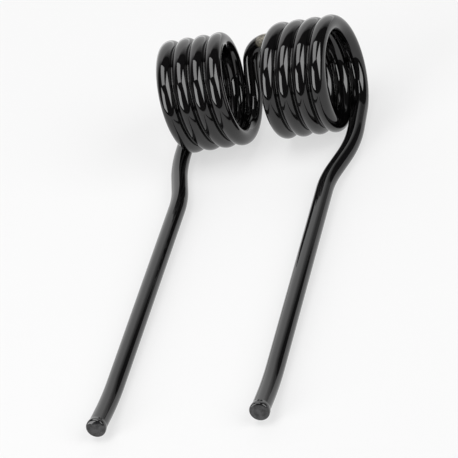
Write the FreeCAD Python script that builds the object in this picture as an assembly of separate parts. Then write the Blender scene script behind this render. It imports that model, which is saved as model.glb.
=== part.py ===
import FreeCAD, Part
import math
import os

# Double pick-up tine of a hay baler: one length of round spring wire, wound into
# two mirrored coils that a bolt loop joins, with a prong running off each coil.
# Frame: +X from coil to coil, +Y away from the prongs, +Z up from the
# surface that the tine lies on. Origin: midway between the middles of the coils.

# Wire
wire_d = 6.0

# Coils
coil_bore_d = 29.2
turn_gap = 0.05
full_turns = 4
loop_angle = 58.0        # how far past the last full turn the wire leaves for the loop
coil_splay = 2.0         # each coil's outer end is turned this far towards the prongs
coil_lean = 0.8          # and this far up, as the forming of the loop leaves it

# Bolt loop
loop_gap = 8.5           # clear width for an M8 bolt
loop_straight = 6.8      # from the coil to the start of the round top
loop_lead = 2.9          # part of that straight before the limb turns inwards
loop_lead_r = 60.0
loop_taper = 7.0         # how far each limb leans inwards

# Prongs: a root, a jog that brings the prong inwards, a long shank and a bent tip.
# A rise is the angle off the root's own plane, towards the top of the coils.
root_len = 17.7
root_bend_r = 54.0
jog_len = 22.3
jog_inward = 14.8
jog_rise = 7.3
knee_bend_r = 45.0
shank_len = 103.7
shank_rise = 5.0
tip_bend_r = 104.0
tip_len = 16.35
tip_rise = 13.5

# Sheared ends, with the bead that the paint leaves on them
bead_d = 6.5
bead_len = 2.8
bead_flare = 1.0         # length over which the wire thickens to the bead
bead_edge_r = 0.6
bead_crown = 0.15        # height of the end's shallow dome

wire_r = wire_d / 2
coil_r = (coil_bore_d + wire_d) / 2
pitch = wire_d + turn_gap
coil_angle = 2 * math.pi * full_turns + math.radians(loop_angle)
coil_len = pitch * coil_angle / (2 * math.pi)
lead_angle = math.atan(pitch / (2 * math.pi * coil_r))
loop_r = (loop_gap + wire_d) / 2

X = FreeCAD.Vector(1, 0, 0)
Y = FreeCAD.Vector(0, 1, 0)
Z = FreeCAD.Vector(0, 0, 1)
coil_set = FreeCAD.Rotation(Z, -coil_splay) * FreeCAD.Rotation(Y, -coil_lean)


def on_coil(angle):
    """Point of the coil's centreline from the coil's middle, the angle from its outer underside."""
    x = coil_len / 2 - pitch * angle / (2 * math.pi)
    point = FreeCAD.Vector(x, coil_r * math.sin(angle), -coil_r * math.cos(angle))
    return coil_set.multVec(point)


def prong_heading(rise, inward):
    """Unit direction of a run of the +X prong."""
    a = math.radians(rise)
    b = math.radians(inward)
    return FreeCAD.Vector(-math.sin(b), -math.cos(a) * math.cos(b), math.sin(a) * math.cos(b))


def bent_run(points, radii):
    """Edges through the points, with an arc of each radius at the inner points."""
    edges = []
    start = points[0]
    for before, corner, after, radius in zip(points, points[1:], points[2:], radii):
        back = (before - corner).normalize()
        ahead = (after - corner).normalize()
        half = back.getAngle(ahead) / 2
        reach = radius / math.tan(half)
        into = corner + back * reach
        out = corner + ahead * reach
        to_centre = (back + ahead).normalize()
        middle = corner + to_centre * (radius / math.sin(half) - radius)
        edges.append(Part.LineSegment(start, into).toShape())
        edges.append(Part.Arc(into, middle, out).toShape())
        start = out
    edges.append(Part.LineSegment(start, points[-1]).toShape())
    return edges


def coil_edges():
    """Helix of the +X coil, from the root of the prong to the bolt loop."""
    helix = Part.makeLongHelix(pitch, coil_len, coil_r, 0, True)
    down = FreeCAD.Vector(0, 0, -1)
    turn = FreeCAD.Rotation(down, -Y, -X, "ZXY")
    wound = FreeCAD.Placement(X * (coil_len / 2), turn)
    helix.Placement = FreeCAD.Placement(coil_middle, coil_set) * wound
    return helix.Edges


def sweep_wire(edges):
    """Solid wire along a run of edges that meet smoothly."""
    path = Part.Wire(Part.__sortEdges__(edges))
    first = path.OrderedEdges[0]
    at = first.firstVertex(True).Point
    along = first.tangentAt(first.getParameterByLength(0))
    section = Part.Wire([Part.makeCircle(wire_r, at, along)])
    return path.makePipeShell([section], True, False)


def bead(at, along):
    """Painted end of the wire, turned about the wire's own axis."""
    crown_r = bead_d / 2 - bead_edge_r
    side = [
        FreeCAD.Vector(0, 0, 0),
        FreeCAD.Vector(wire_r, 0, 0),
        FreeCAD.Vector(bead_d / 2, 0, bead_flare),
        FreeCAD.Vector(bead_d / 2, 0, bead_len - bead_edge_r),
        FreeCAD.Vector(crown_r, 0, bead_len),
        FreeCAD.Vector(0, 0, bead_len + bead_crown),
    ]
    round_off = bead_edge_r * (1 - math.sqrt(0.5))
    shoulder = FreeCAD.Vector(bead_d / 2 - round_off, 0, bead_len - round_off)
    dome_r = (crown_r ** 2 + bead_crown ** 2) / (2 * bead_crown)
    dome_angle = math.asin(crown_r / dome_r) / 2
    dome_drop = dome_r * (1 - math.cos(dome_angle))
    dome = FreeCAD.Vector(dome_r * math.sin(dome_angle), 0, side[5].z - dome_drop)
    profile = Part.Wire([
        Part.LineSegment(side[0], side[1]).toShape(),
        Part.LineSegment(side[1], side[2]).toShape(),
        Part.LineSegment(side[2], side[3]).toShape(),
        Part.Arc(side[3], shoulder, side[4]).toShape(),
        Part.Arc(side[4], dome, side[5]).toShape(),
        Part.LineSegment(side[5], side[0]).toShape(),
    ])
    turned = Part.Face(profile).revolve(FreeCAD.Vector(0, 0, 0), Z, 360)
    turned.Placement = FreeCAD.Placement(at, FreeCAD.Rotation(Z, along))
    return turned


# Half of the bolt loop, from the coil's inner end to the middle of the round top. The
# coil's place along X follows from the loop's width at its top.
loop_turn = math.radians(loop_angle)
taper = math.radians(loop_taper)
loop_heading = FreeCAD.Vector(0, math.cos(loop_turn), math.sin(loop_turn))
leaving = coil_set.multVec(loop_heading * math.cos(lead_angle) - X * math.sin(lead_angle))
limb_heading = loop_heading * math.cos(taper) - X * math.sin(taper)
limb_run = leaving * loop_lead + limb_heading * (loop_straight - loop_lead)
coil_middle = X * (loop_r * math.cos(taper) - (on_coil(coil_angle) + limb_run).x)
loop_start = coil_middle + on_coil(coil_angle)
lead_end = loop_start + leaving * loop_lead
limb_end = loop_start + limb_run
bow_centre = limb_end - X * limb_end.x - loop_heading * (loop_r * math.sin(taper))
loop_middle = bow_centre + loop_heading * loop_r
half_way = (math.pi / 2 + taper) / 2
bow_mid = bow_centre + (loop_heading * math.sin(half_way) + X * math.cos(half_way)) * loop_r
limb = bent_run([loop_start, lead_end, limb_end], [loop_lead_r])
bow = Part.Arc(limb_end, bow_mid, loop_middle).toShape()

# Prong of the +X side, from the coil's underside to the tip
root_start = coil_middle + on_coil(0)
root_heading = coil_set.multVec(X * math.sin(lead_angle) - Y * math.cos(lead_angle))
tip_heading = prong_heading(tip_rise, 0)
root_end = root_start + root_heading * root_len
jog_end = root_end + prong_heading(jog_rise, jog_inward) * jog_len
shank_end = jog_end + prong_heading(shank_rise, 0) * shank_len
bead_start = shank_end + tip_heading * (tip_len - bead_len)
prong = bent_run(
    [root_start, root_end, jog_end, shank_end, bead_start],
    [root_bend_r, knee_bend_r, tip_bend_r],
)

half = sweep_wire(prong + coil_edges() + limb + [bow])
half = half.fuse(bead(bead_start, tip_heading))
tine = half.fuse(half.mirror(FreeCAD.Vector(0, 0, 0), X)).removeSplitter()

# The tine lies with the bends at the root and at the tip of each prong on the surface
lie = math.atan2(shank_end.z - root_end.z, root_end.y - shank_end.y)
tine.rotate(FreeCAD.Vector(0, 0, 0), X, math.degrees(lie))

spring_tine = tine.Solids[0]
os.makedirs("parts", exist_ok=True)
spring_tine.exportStep("parts/spring_tine.step")
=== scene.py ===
import math
import bmesh
import bpy
from mathutils import Matrix, Vector


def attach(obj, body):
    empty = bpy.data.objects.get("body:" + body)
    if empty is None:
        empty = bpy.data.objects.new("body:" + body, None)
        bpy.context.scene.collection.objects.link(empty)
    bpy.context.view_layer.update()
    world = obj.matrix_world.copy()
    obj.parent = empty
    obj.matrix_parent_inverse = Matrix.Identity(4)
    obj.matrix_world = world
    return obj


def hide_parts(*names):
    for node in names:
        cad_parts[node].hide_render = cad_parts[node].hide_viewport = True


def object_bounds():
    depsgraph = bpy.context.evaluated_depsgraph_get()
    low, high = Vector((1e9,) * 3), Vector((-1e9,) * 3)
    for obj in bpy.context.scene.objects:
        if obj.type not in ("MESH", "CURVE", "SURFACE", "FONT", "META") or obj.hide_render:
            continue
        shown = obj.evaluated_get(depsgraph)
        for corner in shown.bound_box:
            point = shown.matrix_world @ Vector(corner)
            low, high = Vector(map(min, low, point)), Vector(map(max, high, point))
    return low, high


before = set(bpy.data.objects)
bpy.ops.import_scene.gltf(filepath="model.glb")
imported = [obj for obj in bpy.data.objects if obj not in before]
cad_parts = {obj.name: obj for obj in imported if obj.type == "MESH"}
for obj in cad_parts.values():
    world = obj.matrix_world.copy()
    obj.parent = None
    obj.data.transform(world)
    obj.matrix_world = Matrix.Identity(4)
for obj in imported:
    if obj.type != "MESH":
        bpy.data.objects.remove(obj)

cad_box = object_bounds()
rest_z = cad_box[0].z            # the surface that the tine lies on

# Wire bender's sheet for the tine as the part is bent. Lengths are in millimetres
WIRE_R = 2.985                   # 6 mm wire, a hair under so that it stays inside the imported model

COIL_R = 17.6                    # to the middle of the wire
PITCH = 6.05
FULL_TURNS = 4
LOOP_ANGLE = math.radians(58)    # past the full turns, where the wire leaves for the bolt loop
COIL_ANGLE = 2 * math.pi * FULL_TURNS + LOOP_ANGLE
LEAD = math.atan(PITCH / (2 * math.pi * COIL_R))
SPLAY = math.radians(2.0)        # the outer end of each coil is turned towards the prongs,
LEAN = math.radians(0.8)         # and up
COIL_SET = Matrix.Rotation(-SPLAY, 3, "Z") @ Matrix.Rotation(-LEAN, 3, "Y")

LOOP_R = 7.25
LOOP_LEAD, LOOP_STRAIGHT = 2.9, 6.8     # from the coil to the bend into the limb, and to the bow
LOOP_LEAD_R = 60.0
LOOP_TAPER = math.radians(7)     # each limb of the loop leans inwards

ROOT_LEN, JOG_LEN, SHANK_LEN, TIP_LEN = 17.7, 22.3, 103.7, 16.35
ROOT_BEND_R, KNEE_BEND_R, TIP_BEND_R = 54.0, 45.0, 104.0
JOG_RISE, SHANK_RISE, TIP_RISE = 7.3, 5.0, 13.5      # degrees above level
JOG_INWARD = 14.8                                    # degrees towards the other prong

BEAD_R, BEAD_LEN = 3.235, 2.79   # of the enamel on the sheared ends
BEAD_EDGE_R, BEAD_DOME = 0.6, 0.14
ROLL_OVER_RIGHT, ROLL_OVER_LEFT = 0.05, 0.24         # the top of the rim goes back 2.2 times this
FILLET_R = 0.28                  # of the enamel that stays in the grooves between the turns

SIDES = 48                       # round the wire
COIL_STEP = math.radians(3)      # along the coils and the bow of the loop
BEND_STEP = math.radians(1.5)    # along the slow bends of the prongs and the limbs
TAPER_STEP = math.radians(2.5)   # along the ends of the groove fillets

X = Vector((1, 0, 0))
Y = Vector((0, 1, 0))
Z = Vector((0, 0, 1))


def linear(hex_colour):
    """sRGB hex to the linear colour that a shader takes."""
    parts = [int(hex_colour[i:i + 2], 16) / 255 for i in (1, 3, 5)]
    return [c / 12.92 if c <= 0.04045 else ((c + 0.055) / 1.055) ** 2.4 for c in parts] + [1.0]


def node(tree, kind, settings=None, links=None):
    """One shader node with its settings (by attribute or input) and the sockets that feed it."""
    made = tree.nodes.new(kind)
    for key, value in (settings or {}).items():
        if isinstance(key, str) and hasattr(made, key):
            setattr(made, key, value)
        else:
            made.inputs[key].default_value = value
    for key, source in (links or {}).items():
        tree.links.new(source, made.inputs[key])
    return made


def prong_heading(rise, inward):
    """Unit direction of a run of the prong on the +X side."""
    a, b = math.radians(rise), math.radians(inward)
    return Vector((-math.sin(b), -math.cos(a) * math.cos(b), math.sin(a) * math.cos(b)))


def on_coil(angle):
    """Point of the coil's centreline from its middle, by the angle from the outer underside."""
    x = PITCH * (COIL_ANGLE / 2 - angle) / (2 * math.pi)
    return COIL_SET @ Vector((x, COIL_R * math.sin(angle), -COIL_R * math.cos(angle)))


def feed(wire, ring, step):
    """Feeds the wire straight on by a step and returns its new end."""
    made = bmesh.ops.extrude_edge_only(wire, edges=ring)["geom"]
    ends = [v for v in made if isinstance(v, bmesh.types.BMVert)]
    bmesh.ops.translate(wire, vec=step, verts=ends)
    new = set(ends)
    return [e for e in made if isinstance(e, bmesh.types.BMEdge) and set(e.verts) <= new]


def wind(wire, ring, centre, axis, angle, step, slip=0.0):
    """Winds the wire's end round an axis, with a slip along that axis in all."""
    steps = math.ceil(abs(angle) / step)
    spun = bmesh.ops.spin(
        wire, geom=ring, cent=centre, axis=axis, angle=angle, steps=steps,
        dvec=axis * (slip / steps), use_merge=False, use_duplicate=False,
    )["geom_last"]
    return [e for e in spun if isinstance(e, bmesh.types.BMEdge)]


def run_wire(wire, ring, points, radii):
    """Feeds and bends the wire along the points, with a bend of each radius at the inner ones."""
    at = points[0]
    for before, corner, after, radius in zip(points, points[1:], points[2:], radii):
        into, out = (corner - before).normalized(), (after - corner).normalized()
        turn = into.angle(out)
        reach = radius * math.tan(turn / 2)
        axis = into.cross(out).normalized()
        start = corner - into * reach
        ring = feed(wire, ring, start - at)
        ring = wind(wire, ring, start + axis.cross(into) * radius, axis, turn, BEND_STEP)
        at = corner + out * reach
    return feed(wire, ring, points[-1] - at)


def swell(wire, ring, middle, scale):
    """Thickens or thins the end of a run about its middle."""
    ends = list({v for e in ring for v in e.verts})
    place = Matrix.Translation(-middle)
    bmesh.ops.scale(wire, vec=(scale, scale, scale), space=place, verts=ends)


def dip_bead(wire, ring, at, along):
    """Bead of enamel on the sheared end: a soft shoulder, a rounded rim and a shallow dome."""
    face_r = BEAD_R - BEAD_EDGE_R
    rim, rim_steps = BEAD_LEN - BEAD_EDGE_R, 8
    # Each pair is the reach along the wire and the radius there
    outline = [(0.25, 3.0), (0.5, 3.045), (0.75, 3.105), (1.0, 3.165), (1.25, 3.21),
               (1.5, BEAD_R), (rim, BEAD_R)]
    for k in range(1, rim_steps + 1):
        a = math.radians(90 * k / rim_steps)
        outline.append((rim + BEAD_EDGE_R * math.sin(a), face_r + BEAD_EDGE_R * math.cos(a)))
    for r in (2.35, 2.0, 1.6, 1.2, 0.7):
        outline.append((BEAD_LEN + BEAD_DOME * (1 - (r / face_r) ** 2), r))
    gone, radius = 0.0, WIRE_R
    for reach, next_radius in outline:
        ring = feed(wire, ring, along * (reach - gone))
        swell(wire, ring, at + along * reach, next_radius / radius)
        gone, radius = reach, next_radius
    cap = bmesh.ops.contextual_create(wire, geom=ring)["faces"]
    bmesh.ops.poke(wire, faces=cap, offset=0.0)


def roll_end(wire, at, along, amount):
    """Rolls the upper side of an end over, as the shear blade did before the wire broke through."""
    up = along.cross(X)
    beside = 4                             # keeps to this prong
    from_reach, from_side = 1.2, 1.5       # along the bead, and up from its middle
    for v in wire.verts:
        reach, side = (v.co - at).dot(along), (v.co - at).dot(up)
        if abs(v.co.x - at.x) < beside and reach > from_reach and side > from_side:
            back = amount * (side - from_side) ** 2 * (reach - from_reach) / (BEAD_LEN - from_reach)
            v.co -= along * back


def taper_fillets(wire, ring, at, coil_middle, sizes):
    """Winds the fillets on by short steps, through the given shares of their full section."""
    axis = COIL_SET @ X
    slip = PITCH * TAPER_STEP / (2 * math.pi)
    for size, next_size in zip(sizes, sizes[1:]):
        ring = wind(wire, ring, coil_middle, axis, -TAPER_STEP, TAPER_STEP, slip)
        at = coil_middle + Matrix.Rotation(-TAPER_STEP, 3, axis) @ (at - coil_middle) + axis * slip
        swell(wire, ring, at, next_size / size)
    return ring


def fill_groove(wire, coil_middle):
    """Enamel held in the groove between the turns: hollow fillets outside and inside, in one."""
    sizes = (0.1, 0.35, 0.65, 0.88, 1.0)
    turns = COIL_ANGLE - 2 * math.pi
    start = turns + (len(sizes) - 1) * TAPER_STEP

    # Section across the groove, with its edges a little under the surface of both turns
    foot_x, foot_r, sunk, side_steps = 0.4, 0.9, 0.02, 4
    height = math.sqrt((WIRE_R + FILLET_R) ** 2 - (PITCH / 2) ** 2) - sunk
    spread = math.asin(PITCH / 2 / (WIRE_R + FILLET_R))
    hollow = [(-foot_x, foot_r)]
    for k in range(-side_steps, side_steps + 1):
        a = spread * k / side_steps
        hollow.append((FILLET_R * math.sin(a), height - FILLET_R * math.cos(a)))
    hollow.append((foot_x, foot_r))

    outward = Vector((0, math.sin(start), -math.cos(start)))
    middle = X * (PITCH * (COIL_ANGLE / 2 - start - math.pi) / (2 * math.pi)) + outward * COIL_R
    outside = [middle + X * x + outward * r for x, r in hollow]
    inside = [middle + X * x - outward * r for x, r in reversed(hollow)]
    corners = [wire.verts.new(coil_middle + COIL_SET @ c) for c in outside + inside]
    ring = [wire.edges.new(pair) for pair in zip(corners, corners[1:] + corners[:1])]
    at = coil_middle + COIL_SET @ middle
    swell(wire, ring, at, sizes[0])
    bmesh.ops.contextual_create(wire, geom=ring)
    ring = taper_fillets(wire, ring, at, coil_middle, sizes)
    slip = PITCH * turns / (2 * math.pi)
    ring = wind(wire, ring, coil_middle, COIL_SET @ X, -turns, COIL_STEP, slip)
    at = coil_middle + on_coil(0) - COIL_SET @ X * (PITCH / 2)
    ring = taper_fillets(wire, ring, at, coil_middle, sizes[::-1])
    bmesh.ops.contextual_create(wire, geom=ring)


def bend_tine():
    """Half the tine from the middle of the bolt loop to the tip, mirrored and laid down."""
    wire = bmesh.new()
    up_loop = Vector((0, math.cos(LOOP_ANGLE), math.sin(LOOP_ANGLE)))
    leaving = COIL_SET @ (up_loop * math.cos(LEAD) - X * math.sin(LEAD))
    limb = up_loop * math.cos(LOOP_TAPER) - X * math.sin(LOOP_TAPER)
    limb_run = leaving * LOOP_LEAD + limb * (LOOP_STRAIGHT - LOOP_LEAD)
    coil_middle = X * (LOOP_R * math.cos(LOOP_TAPER) - (on_coil(COIL_ANGLE) + limb_run).x)
    loop_start = coil_middle + on_coil(COIL_ANGLE)
    limb_end = loop_start + limb_run
    bow = limb_end - X * limb_end.x - up_loop * (LOOP_R * math.sin(LOOP_TAPER))

    # The round section starts on the mid plane, square to X
    section = Matrix.Translation(bow + up_loop * LOOP_R) @ Matrix.Rotation(math.pi / 2, 4, "Y")
    first = bmesh.ops.create_circle(wire, segments=SIDES, radius=WIRE_R, matrix=section)["verts"]
    ring = list({e for v in first for e in v.link_edges})

    bow_axis = up_loop.cross(X).normalized()
    ring = wind(wire, ring, bow, bow_axis, math.pi / 2 - LOOP_TAPER, COIL_STEP)
    limb_points = [limb_end, loop_start + leaving * LOOP_LEAD, loop_start]
    ring = run_wire(wire, ring, limb_points, [LOOP_LEAD_R])
    slip = PITCH * COIL_ANGLE / (2 * math.pi)
    ring = wind(wire, ring, coil_middle, COIL_SET @ X, -COIL_ANGLE, COIL_STEP, slip)

    root_start = coil_middle + on_coil(0)
    root_end = root_start + COIL_SET @ (X * math.sin(LEAD) - Y * math.cos(LEAD)) * ROOT_LEN
    jog_end = root_end + prong_heading(JOG_RISE, JOG_INWARD) * JOG_LEN
    shank_end = jog_end + prong_heading(SHANK_RISE, 0) * SHANK_LEN
    tip_heading = prong_heading(TIP_RISE, 0)
    bead_start = shank_end + tip_heading * (TIP_LEN - BEAD_LEN)
    prong_points = [root_start, root_end, jog_end, shank_end, bead_start]
    ring = run_wire(wire, ring, prong_points, [ROOT_BEND_R, KNEE_BEND_R, TIP_BEND_R])
    dip_bead(wire, ring, bead_start, tip_heading)
    fill_groove(wire, coil_middle)

    half = wire.verts[:] + wire.edges[:] + wire.faces[:]
    bmesh.ops.mirror(wire, geom=half, axis="X", merge_dist=0.001)
    bmesh.ops.remove_doubles(wire, verts=wire.verts, dist=0.0005)
    bmesh.ops.recalc_face_normals(wire, faces=wire.faces)
    roll_end(wire, bead_start, tip_heading, ROLL_OVER_RIGHT)
    roll_end(wire, bead_start - X * (2 * bead_start.x), tip_heading, ROLL_OVER_LEFT)

    # It lies on the bends at the root and at the tip of each prong. From here on it is in metres
    lie = math.atan2(shank_end.z - root_end.z, root_end.y - shank_end.y)
    laid = Matrix.Rotation(lie, 3, "X")
    bmesh.ops.rotate(wire, cent=(0, 0, 0), matrix=laid, verts=wire.verts)
    bmesh.ops.scale(wire, vec=(0.001, 0.001, 0.001), verts=wire.verts)
    return wire


def piece(name, shape, material, smooth=True):
    """An object at the origin that carries the shape and its material."""
    mesh = bpy.data.meshes.new(name)
    for face in shape.faces:
        face.smooth = smooth
    shape.to_mesh(mesh)
    shape.free()
    mesh.materials.append(material)
    made = bpy.data.objects.new(name, mesh)
    bpy.context.scene.collection.objects.link(made)
    return made


def new_material(name):
    """A material and its node tree, still empty."""
    material = bpy.data.materials.new(name)
    material.use_nodes = True
    material.node_tree.nodes.clear()
    return material, material.node_tree


def gloss_dip_enamel():
    """Black baking enamel, dipped and drained: it levels to a hard mirror gloss over near-black.

    A pattern's scale is its cells to the metre, so that 1000 makes them a millimetre across.
    """
    material, tree = new_material("gloss_black_dip_enamel")
    place = node(tree, "ShaderNodeTexCoord").outputs["Object"]

    # Faint orange peel about a millimetre across, and slow changes over some 6 mm where the
    # enamel ran thicker or thinner: a touch browner and less level where it is thin
    peel = node(tree, "ShaderNodeTexNoise", {"Scale": 900.0, "Detail": 1.0}, {"Vector": place})
    runs = node(tree, "ShaderNodeTexNoise", {"Scale": 160.0, "Detail": 4.0}, {"Vector": place})
    level = node(tree, "ShaderNodeMapRange", {"To Min": 0.02, "To Max": 0.06},
                 {"Value": runs.outputs["Fac"]})
    black = node(tree, "ShaderNodeMix",
                 {"data_type": "RGBA", 6: linear("#050506"), 7: linear("#080707")},
                 {0: runs.outputs["Fac"]})

    # On the sheared ends the enamel is thin: greyer and clouded, with the shear's rough face
    # showing through in torn marks 1 to 2 mm across. It starts 1.2 mm short of the tips' very
    # ends and is full at 0.5 mm
    face_starts, face_full = -0.157, -0.1577       # along Y
    depth = node(tree, "ShaderNodeSeparateXYZ", {}, {0: place})
    sheared = node(tree, "ShaderNodeMapRange",
                   {"From Min": face_full, "From Max": face_starts, "To Min": 1.0, "To Max": 0.0},
                   {"Value": depth.outputs["Y"]})
    torn = node(tree, "ShaderNodeTexNoise", {"Scale": 600.0, "Detail": 4.0}, {"Vector": place})
    clouds = node(tree, "ShaderNodeMapRange", {"From Min": 0.35, "From Max": 0.65},
                  {"Value": torn.outputs["Fac"]})
    grey = node(tree, "ShaderNodeMix",
                {"data_type": "RGBA", 6: linear("#030303"), 7: linear("#383839")},
                {0: clouds.outputs["Result"]})
    thin = node(tree, "ShaderNodeMix", {"data_type": "RGBA"},
                {0: sheared.outputs["Result"], 6: black.outputs[2], 7: grey.outputs[2]})

    # Dull patch on the crown of the loop, some 6 mm across with a ragged edge: its colour is
    # spotted from dark brown to pale grey-beige, and it has a fine grit
    crown_patch_centre = (0.0, 0.0204, 0.0059)
    crown = node(tree, "ShaderNodeVectorMath", {"operation": "DISTANCE", 1: crown_patch_centre}, {0: place})
    grit = node(tree, "ShaderNodeTexNoise", {"Scale": 1300.0, "Detail": 3.0, "Roughness": 0.7},
                {"Vector": place})
    ragged = node(tree, "ShaderNodeMath", {"operation": "MULTIPLY_ADD", 1: 0.0016},
                  {0: grit.outputs["Fac"], 2: crown.outputs["Value"]})
    crown_patch = node(tree, "ShaderNodeMapRange",
                {"From Min": 0.0034, "From Max": 0.0046, "To Min": 1.0, "To Max": 0.0},
                {"Value": ragged.outputs[0]})
    spots = node(tree, "ShaderNodeMapRange", {"From Min": 0.35, "From Max": 0.65},
                 {"Value": grit.outputs["Fac"]})
    patch_colour = node(tree, "ShaderNodeMix",
                 {"data_type": "RGBA", 6: linear("#2f2c26"), 7: linear("#908a7b")},
                 {0: spots.outputs["Result"]})
    colour = node(tree, "ShaderNodeMix", {"data_type": "RGBA"},
                  {0: crown_patch.outputs["Result"], 6: thin.outputs[2], 7: patch_colour.outputs[2]})
    dull = node(tree, "ShaderNodeMix", {"data_type": "FLOAT", 3: 0.5},
                {0: crown_patch.outputs["Result"], 2: level.outputs["Result"]})

    # Relief in metres: 0.02 mm for the peel, 0.1 mm for the torn face and for the grit
    bump = node(tree, "ShaderNodeBump", {"Strength": 0.16, "Distance": 0.00002},
                {"Height": peel.outputs["Fac"]})
    for rough, where in ((torn, sheared), (grit, crown_patch)):
        bump = node(tree, "ShaderNodeBump", {"Distance": 0.0001},
                    {"Height": rough.outputs["Fac"], "Strength": where.outputs["Result"],
                     "Normal": bump.outputs["Normal"]})
    enamel = node(tree, "ShaderNodeBsdfPrincipled", {"IOR": 1.56},
                  {"Base Color": colour.outputs[2], "Roughness": dull.outputs[0],
                   "Normal": bump.outputs["Normal"]})
    node(tree, "ShaderNodeOutputMaterial", {}, {"Surface": enamel.outputs["BSDF"]})
    return material


def paper_floor():
    """Matt white background paper under the tine."""
    material, tree = new_material("white_background_paper")
    paper = node(tree, "ShaderNodeBsdfDiffuse", {"Color": linear("#cecece")})
    # By eye and in the enamel the paper is also seen part of the way to white. By eye that grows
    # far off, where the lamps don't reach, and in the enamel it ends where the reflector stands
    white = node(tree, "ShaderNodeEmission", {"Strength": 1.0})
    ray = node(tree, "ShaderNodeLightPath")
    where = node(tree, "ShaderNodeTexCoord")
    reach = node(tree, "ShaderNodeVectorMath", {"operation": "LENGTH"},
                 {0: where.outputs["Object"]})
    lift = node(tree, "ShaderNodeMapRange",
                {"From Min": 0.4, "From Max": 1.5, "To Min": 0.6, "To Max": 0.92},
                {"Value": reach.outputs["Value"]})
    near = node(tree, "ShaderNodeMapRange",
                {"From Min": 0.4, "From Max": 0.9, "To Min": 0.6, "To Max": 0.0},
                {"Value": reach.outputs["Value"]})
    by_eye = node(tree, "ShaderNodeMath", {"operation": "MULTIPLY"},
                  {0: ray.outputs["Is Camera Ray"], 1: lift.outputs["Result"]})
    in_gloss = node(tree, "ShaderNodeMath", {"operation": "MULTIPLY"},
                    {0: ray.outputs["Is Glossy Ray"], 1: near.outputs["Result"]})
    share = node(tree, "ShaderNodeMath", {"operation": "MAXIMUM"},
                 {0: by_eye.outputs[0], 1: in_gloss.outputs[0]})
    mix = node(tree, "ShaderNodeMixShader", {},
               {0: share.outputs[0], 1: paper.outputs[0], 2: white.outputs[0]})
    node(tree, "ShaderNodeOutputMaterial", {}, {"Surface": mix.outputs[0]})
    return material


def lay_paper():
    """A round sheet of paper, flat under the tine."""
    sheet = bmesh.new()
    place = Matrix.Translation((0, 0, rest_z))
    bmesh.ops.create_circle(sheet, cap_ends=True, segments=96, radius=3.0, matrix=place)
    floor = piece("floor", sheet, paper_floor(), smooth=False)


def toward(azimuth, elevation):
    """Unit direction from the tine. Azimuth 0 is in front of the tips, 90 on the +X side."""
    a, e = math.radians(azimuth), math.radians(elevation)
    return Vector((math.sin(a) * math.cos(e), -math.cos(a) * math.cos(e), math.sin(e)))


def softbox(name, place, facing, roll, width, height, radiance):
    """An area lamp at (azimuth, elevation, distance). Its back is turned towards facing."""
    lamp = bpy.data.lights.new(name, "AREA")
    lamp.shape = "RECTANGLE"
    lamp.size, lamp.size_y = width, height
    lamp.energy = radiance * math.pi * width * height
    azimuth, elevation, distance = place
    turn = toward(*facing).to_track_quat("Z", "Y").to_matrix().to_4x4()
    lit = bpy.data.objects.new(name, lamp)
    lit.matrix_world = (Matrix.Translation(toward(azimuth, elevation) * distance) @ turn
                        @ Matrix.Rotation(math.radians(roll), 4, "Z"))
    lit.visible_camera = False
    bpy.context.scene.collection.objects.link(lit)


def set_lamps():
    """Three softboxes and a reflector round the tine, in a dim room. Degrees and metres."""
    softbox("softbox_left", (-40.3, 23.4, 0.75), (-38.6, 16.7), -0.8, 0.435, 0.494, 5.1)
    softbox("softbox_right", (76.2, 31.9, 2.1), (7.3, 51.6), 41.3, 1.826, 1.668, 5.0)
    softbox("softbox_over", (-37.8, 77.0, 0.75), (-80.6, 72.5), -13.3, 0.551, 0.531, 4.0)
    # The reflector stands behind the coils. It is five sheets fanned out one behind the other,
    # so that its edges fall off softly
    for k in range(5):
        fan, distance = 5.0 * k - 8.0, 1.0 + 0.03 * k
        place, facing = (168.5 + fan, 42.0, distance), (-140.0 + fan, -17.2)
        softbox("reflector_back", place, facing, 10.2, 1.369 * distance, 1.658 * distance, 0.255)
    world = bpy.data.worlds.new("studio")
    world.use_nodes = True
    world.node_tree.nodes["Background"].inputs["Color"].default_value = linear("#424242")
    bpy.context.scene.world = world


def set_camera():
    """Long lens in front of the tips and above them, turned as in the photograph."""
    azimuth, elevation, roll = 24.2025, 33.1898, math.radians(-21.3271)
    distance, sensor = 0.84, 36
    frame_px, focal_px = 458, 2371.6093
    right_px, up_px = 29.0471, 144.1651            # the origin's place from the picture's middle
    away = toward(azimuth, elevation)
    level = (-away).cross(Z).normalized()
    upright = level.cross(-away)
    right = level * math.cos(roll) + upright * math.sin(roll)
    top = upright * math.cos(roll) - level * math.sin(roll)
    side, rise = right_px * distance / focal_px, up_px * distance / focal_px
    lens = bpy.data.cameras.new("camera")
    lens.lens = focal_px / frame_px * sensor
    lens.sensor_width = sensor
    lens.clip_start = 0.01
    camera = bpy.data.objects.new("camera", lens)
    place = Matrix.Translation(away * distance - right * side - top * rise)
    camera.matrix_world = place @ Matrix((right, top, away)).transposed().to_4x4()
    bpy.context.scene.collection.objects.link(camera)
    bpy.context.scene.camera = camera


tine = piece("spring_wire", bend_tine(), gloss_dip_enamel())
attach(tine, "root")
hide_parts("spring_tine")
lay_paper()
set_lamps()
set_camera()
bpy.context.scene.view_settings.view_transform = "Standard"
